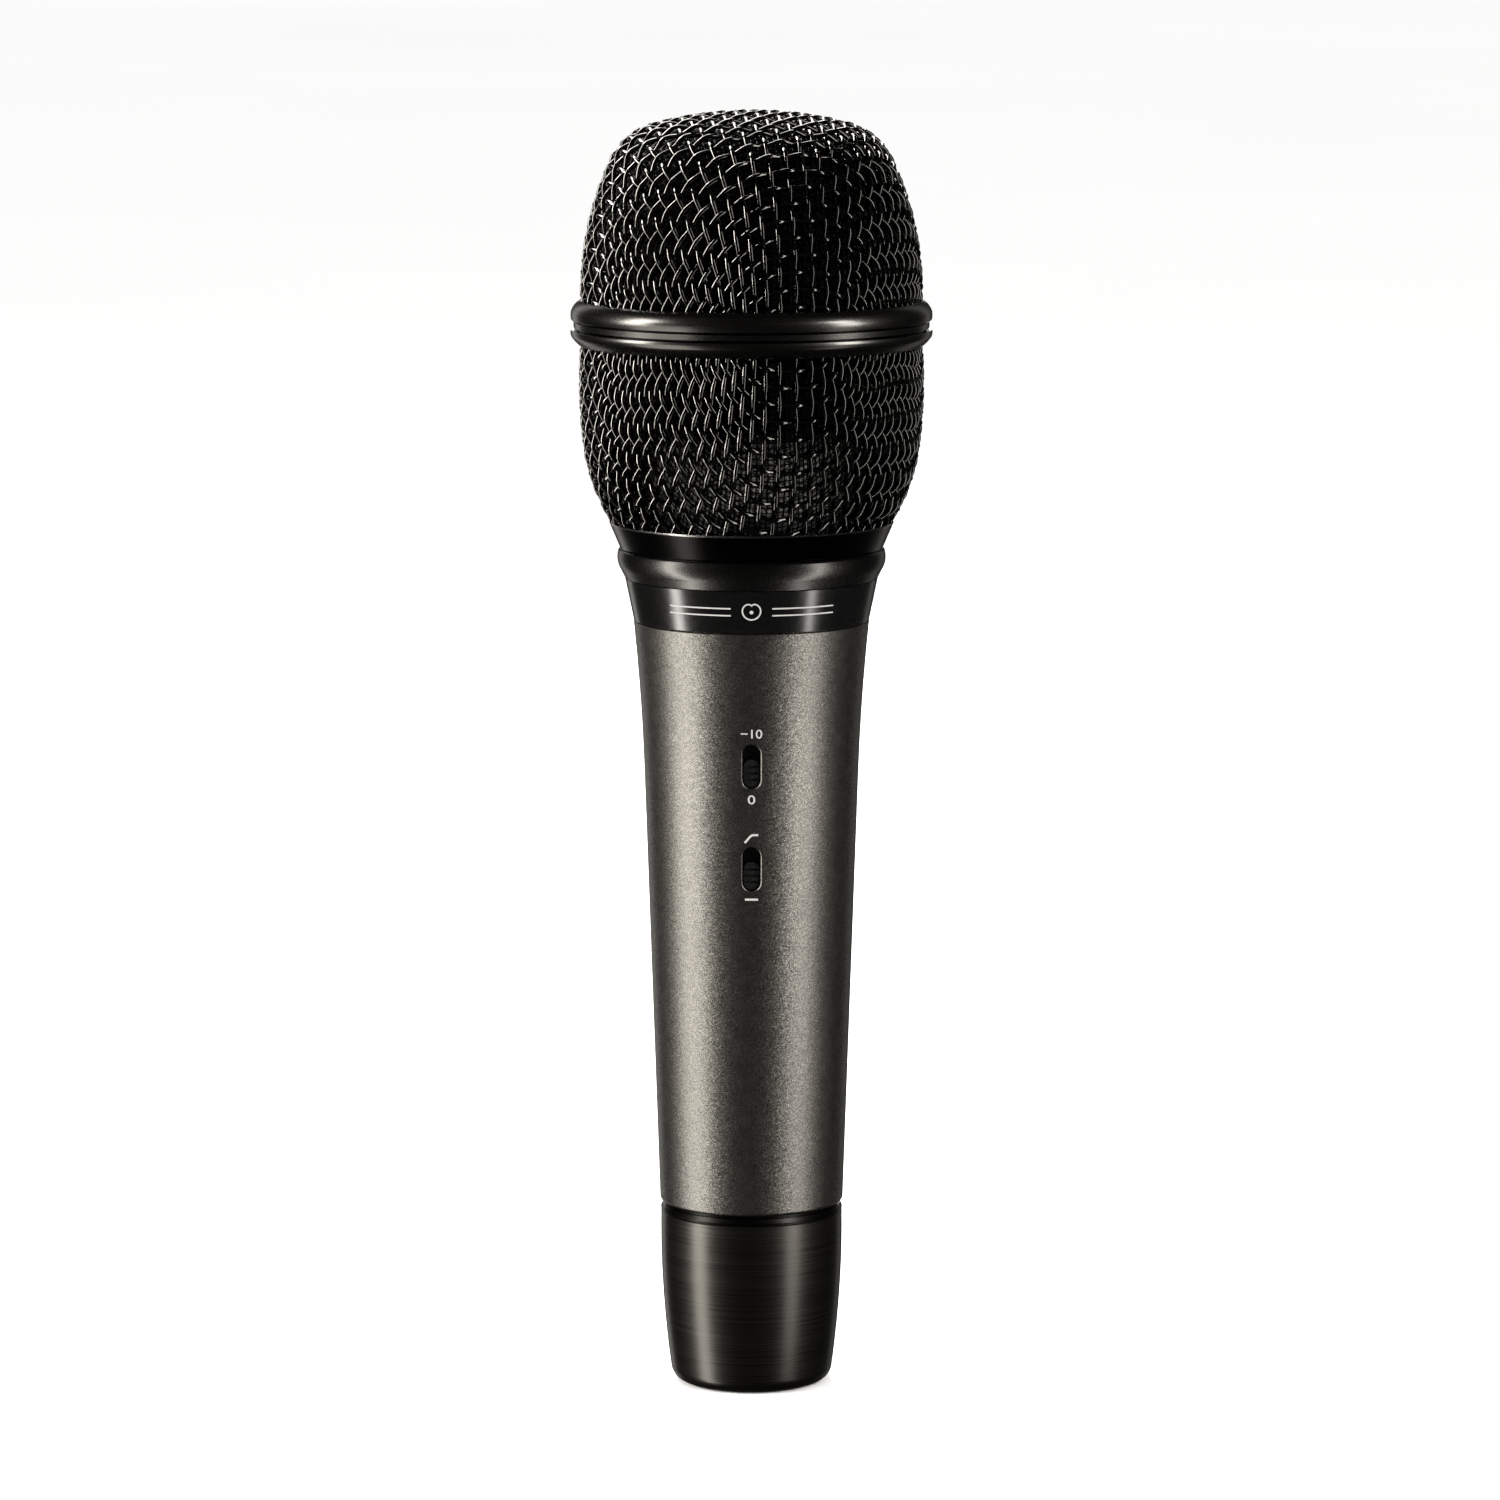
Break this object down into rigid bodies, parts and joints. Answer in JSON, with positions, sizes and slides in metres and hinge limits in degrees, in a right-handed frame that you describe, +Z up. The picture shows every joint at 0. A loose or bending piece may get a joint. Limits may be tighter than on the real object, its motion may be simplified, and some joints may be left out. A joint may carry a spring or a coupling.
{
  "type": "handheld vocal microphone",
  "caption": "Handheld vocal microphone: woven two-part grille head on a tapered handle with recessed pad and low-cut slide switches and a male plug socket in the tail.",
  "frame": {"origin": "centre of the tail's flat bottom rim", "axes": "+Z up the handle's axis towards the grille's crown, -Y towards the two switches (the front), +X to the right seen from the front"},
  "size_m": [0.051, 0.051, 0.1821],
  "materials": {
    "tail_black": "black anodised, fine circumferential brushing",
    "handle_paint": "warm dark grey metallic paint, satin",
    "band_gloss": "gloss black enamel",
    "neck_steel": "machined, oiled thread",
    "ring_rubber": "matt moulded rubber",
    "grille_paint": "satin black powder coat",
    "wire_black": "woven steel wire, gloss black lacquer",
    "gauze_black": "fine black gauze",
    "foam_grey": "open-cell windscreen foam",
    "switch_black": "moulded black nylon",
    "insert_plastic": "moulded black nylon",
    "contact_gold": "gold flashed",
    "spring_bronze": "spring bronze",
    "screw_steel": "blackened steel",
    "chassis_cast": "as-cast",
    "board_green": "solder-masked laminate",
    "resistor_body": "lacquered",
    "film_red": "dipped film capacitor",
    "can_sleeve": "shrink sleeve on an aluminium can",
    "transistor_black": "moulded epoxy",
    "switch_case": "moulded",
    "switch_frame": "tinned steel",
    "lead_pvc": "insulated lead",
    "carrier_plastic": "moulded",
    "mount_rubber": "soft moulded rubber",
    "capsule_metal": "nickel plated",
    "film_gold": "gold-sputtered polyester film",
    "plate_brass": "lapped",
    "insulator_white": "moulded",
    "felt_grey": "pressed felt"
  },
  "bodies": {
    "handle": {"tail_sleeve": "tail_black", "tail_joint_ring": "tail_black", "handle_body": "handle_paint", "name_band": "band_gloss", "neck_sleeve": "neck_steel", "chassis": "chassis_cast", "chassis_screws": "screw_steel", "circuit_board": "board_green", "board_screws": "screw_steel", "resistors": "resistor_body", "film_capacitors": "film_red", "electrolytic_capacitors": "can_sleeve", "transistors": "transistor_black", "pad_switch_case": "switch_case", "pad_switch_frame": "switch_frame", "pad_switch_terminals": "contact_gold", "filter_switch_case": "switch_case", "filter_switch_frame": "switch_frame", "filter_switch_terminals": "contact_gold", "connector_insert": "insert_plastic", "contact_pins": "contact_gold", "ground_spring": "spring_bronze", "insert_set_screw": "screw_steel", "connector_leads": "lead_pvc", "capsule_leads": "lead_pvc", "lead_grommet": "mount_rubber", "capsule_carrier": "carrier_plastic", "shock_mount": "mount_rubber"},
    "pad_slide": {"pad_slider": "switch_black", "pad_contact": "spring_bronze"},
    "filter_slide": {"filter_slider": "switch_black", "filter_contact": "spring_bronze"},
    "capsule": {"capsule_housing": "capsule_metal", "capsule_cap": "capsule_metal", "clamp_ring": "capsule_metal", "diaphragm_ring": "plate_brass", "diaphragm": "film_gold", "diaphragm_spacer": "insulator_white", "backplate": "plate_brass", "backplate_insulator": "insulator_white", "acoustic_felt": "felt_grey", "contact_post": "contact_gold", "capsule_board": "board_green", "impedance_converter": "transistor_black"},
    "neck_seal": {"neck_ring": "ring_rubber"},
    "grille_head": {"grille_collar": "grille_paint", "grille_band": "grille_paint", "lower_grille_mesh": "wire_black", "upper_grille_mesh": "wire_black", "lower_gauze": "gauze_black", "upper_gauze": "gauze_black", "lower_foam": "foam_grey", "upper_foam": "foam_grey"}
  },
  "joints": [
    {"name": "pad_switch", "type": "slide", "parent": "handle", "child": "pad_slide", "axis": [0, 0, 1], "range_m": [0, 0.002]},
    {"name": "low_cut_switch", "type": "slide", "parent": "handle", "child": "filter_slide", "axis": [0, 0, 1], "range_m": [0, 0.002]},
    {"name": "capsule_float", "type": "slide", "parent": "handle", "child": "capsule", "axis": [0, 0, 1], "range_m": [-0.0006, 0.0006], "stiffness_N_per_m": 1500, "deforming": ["shock_mount"]},
    {"name": "grille_rise", "type": "slide", "parent": "handle", "child": "neck_seal", "axis": [0, 0, 1], "range_m": [0, 0.00502]},
    {"name": "grille_turn", "type": "hinge", "parent": "neck_seal", "child": "grille_head", "pos_m": [0, 0, 0.118], "axis": [0, 0, 1], "range_deg": [0, 1800]}
  ],
  "couplings": [
    {"joint": "grille_rise", "follows": "grille_turn", "m_per_rad": 0.00015915}
  ]
}
